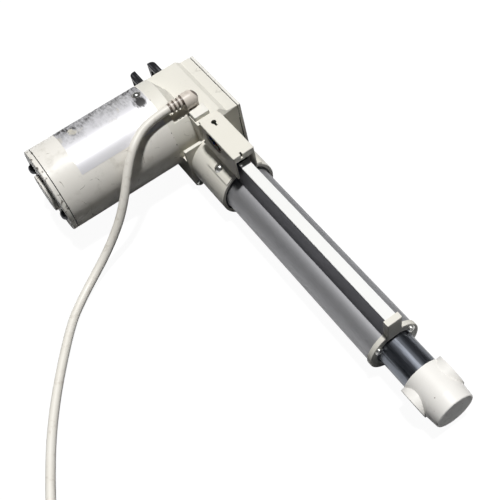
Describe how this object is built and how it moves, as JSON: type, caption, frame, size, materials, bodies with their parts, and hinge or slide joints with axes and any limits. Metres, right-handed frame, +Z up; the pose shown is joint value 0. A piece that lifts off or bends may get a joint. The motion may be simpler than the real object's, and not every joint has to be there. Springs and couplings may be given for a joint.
{
  "type": "electric linear actuator",
  "caption": "Electric linear actuator with a round motor at right angles to a chromed rod in a channelled aluminium tube, a rear fork, a white rod eye and a plugged cord.",
  "frame": {"origin": "centre of the rear fork's pivot bore", "axes": "+X along the rod towards the rod eye, -Y along the motor away from the gear housing, +Z up on the side of the profile's channel"},
  "size_m": [0.4877, 0.3446, 0.0881],
  "materials": {
    "black_fork": "moulded glass-filled nylon",
    "cream_paint": "satin cream paint on cast aluminium",
    "motor_paint": "cream paint on steel tube",
    "cover_paint": "satin cream paint",
    "black_rubber": "matt",
    "zinc_steel": "bright zinc plate",
    "black_steel": "blackened",
    "bearing_steel": "ground",
    "label_foil": "bare white foil",
    "magnet": "sintered ferrite",
    "core_iron": "stacked sheet",
    "copper": "enamelled wire",
    "carbon": "pressed carbon",
    "phenolic": "moulded",
    "spindle_steel": "rolled",
    "wheel_acetal": "hobbed acetal",
    "nut_bronze": "turned bronze",
    "anodised": "satin anodised",
    "strip_white": "extruded",
    "strip_grey": "moulded",
    "board": "lacquered laminate",
    "box_plastic": "moulded ABS",
    "guide_plastic": "moulded acetal",
    "chrome_rod": "hard chrome, ground",
    "eye_white": "moulded acetal",
    "plug_cream": "moulded PVC",
    "cord_cream": "extruded PVC"
  },
  "bodies": {
    "case": {"rear_fork": "black_fork", "fork_screws": "black_steel", "gear_housing": "cream_paint", "housing_cover": "cover_paint", "cover_gasket": "black_rubber", "cover_screws": "zinc_steel", "motor_tube": "motor_paint", "motor_end_cap": "motor_paint", "end_cap_seal": "black_rubber", "tie_bolts": "black_steel", "tube_screws": "zinc_steel", "motor_label": "label_foil", "magnets": "magnet", "brushes": "carbon", "brush_springs": "spindle_steel", "brush_holder": "phenolic", "motor_rear_bearing": "bearing_steel", "motor_front_bearing": "bearing_steel", "worm_end_bearing": "bearing_steel", "spindle_rear_bearing": "bearing_steel", "spindle_front_bearing": "bearing_steel", "tube_collar": "cream_paint", "flange_screws": "zinc_steel", "tube_sleeve": "black_rubber", "outer_tube": "anodised", "cover_strip": "strip_white", "strip_start": "strip_grey", "sensor_board": "board", "switch_box_lid": "box_plastic", "switch_box_bracket": "box_plastic", "switch_box_screws": "zinc_steel", "terminal_block": "board", "front_cap": "cream_paint", "front_cap_screws": "zinc_steel", "rod_guide_bush": "guide_plastic", "rod_wiper": "black_rubber", "plug_body": "plug_cream", "plug_socket": "black_rubber", "plug_relief": "plug_cream", "badge_plate": "label_foil", "cord": "cord_cream", "cord_coil": "cord_cream", "coil_tie": "black_rubber", "cord_tail": "cord_cream", "far_plug_body": "plug_cream", "far_plug_shell": "zinc_steel"},
    "rotor": {"motor_shaft": "spindle_steel", "worm": "spindle_steel", "armature_core": "core_iron", "armature_windings": "copper", "commutator": "copper"},
    "screw": {"spindle": "spindle_steel", "worm_wheel": "wheel_acetal", "spindle_circlip": "spindle_steel"},
    "rod": {"piston_rod": "chrome_rod", "spindle_nut": "nut_bronze", "rod_guide_ring": "guide_plastic"},
    "eye": {"rod_eye": "eye_white", "eye_bush": "guide_plastic"}
  },
  "joints": [
    {"name": "motor_spin", "type": "hinge", "parent": "case", "child": "rotor", "pos_m": [0.074, 0, 0.02], "axis": [0, 1, 0], "range_deg": [-25920, 136080]},
    {"name": "spindle_spin", "type": "hinge", "parent": "case", "child": "screw", "pos_m": [0.074, 0, 0], "axis": [1, 0, 0], "range_deg": [-7561, 1441]},
    {"name": "rod_slide", "type": "slide", "parent": "case", "child": "rod", "axis": [1, 0, 0], "range_m": [-0.0241, 0.1261]},
    {"name": "eye_turn", "type": "hinge", "parent": "rod", "child": "eye", "pos_m": [0.409, 0, 0], "axis": [1, 0, 0], "range_deg": [-90, 90]}
  ],
  "couplings": [
    {"joint": "spindle_spin", "follows": "motor_spin", "ratio": -0.055556},
    {"joint": "rod_slide", "follows": "motor_spin", "m_per_rad": 0.000053052}
  ]
}
